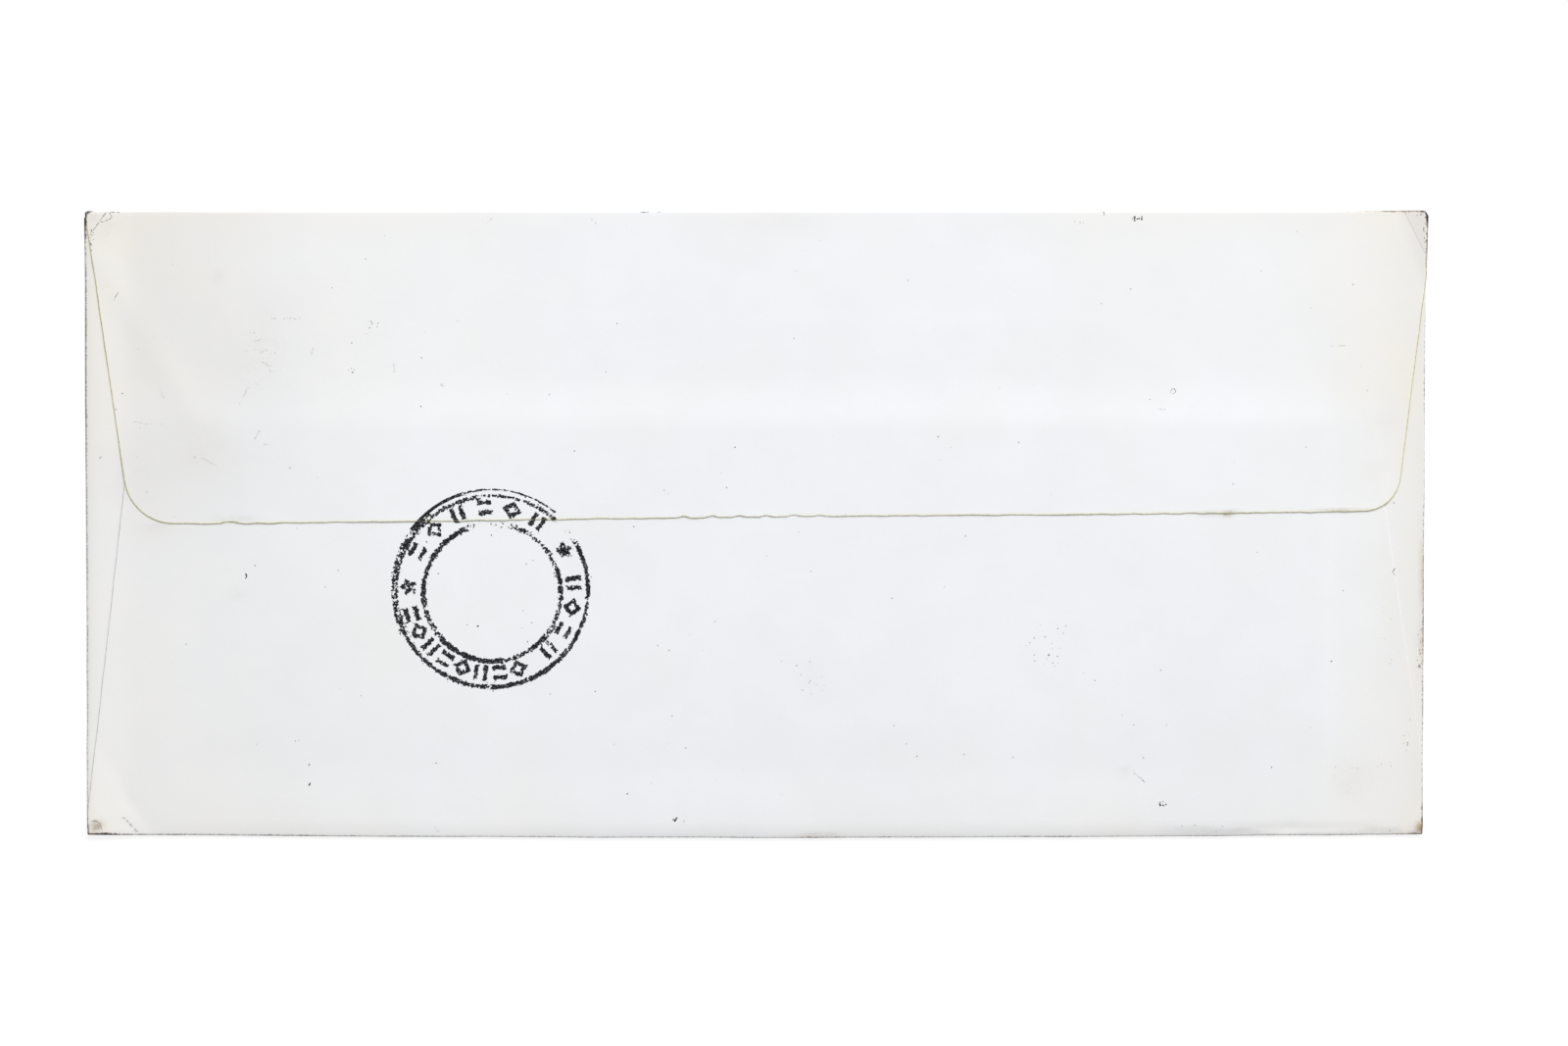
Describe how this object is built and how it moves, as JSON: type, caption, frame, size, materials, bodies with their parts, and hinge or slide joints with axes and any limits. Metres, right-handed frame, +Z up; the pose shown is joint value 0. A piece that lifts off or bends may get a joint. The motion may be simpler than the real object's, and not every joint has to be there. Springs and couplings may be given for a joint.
{
  "type": "paper envelope",
  "caption": "Long commercial paper envelope, sealed and lying on its front: folded sheet with side flaps, back panel and a gummed seal flap with rounded corners.",
  "frame": {"origin": "middle of the underside of the front panel, on the surface that the envelope lies on", "axes": "+X along the long side, +Y towards the top fold that carries the seal flap, +Z up, out of the back of the envelope"},
  "size_m": [0.23, 0.1072, 0.0016],
  "materials": {
    "paper": "matt uncoated white writing paper, soiled at the edges, with a black ink postmark"
  },
  "bodies": {
    "root": {"envelope": "paper"}
  },
  "joints": []
}
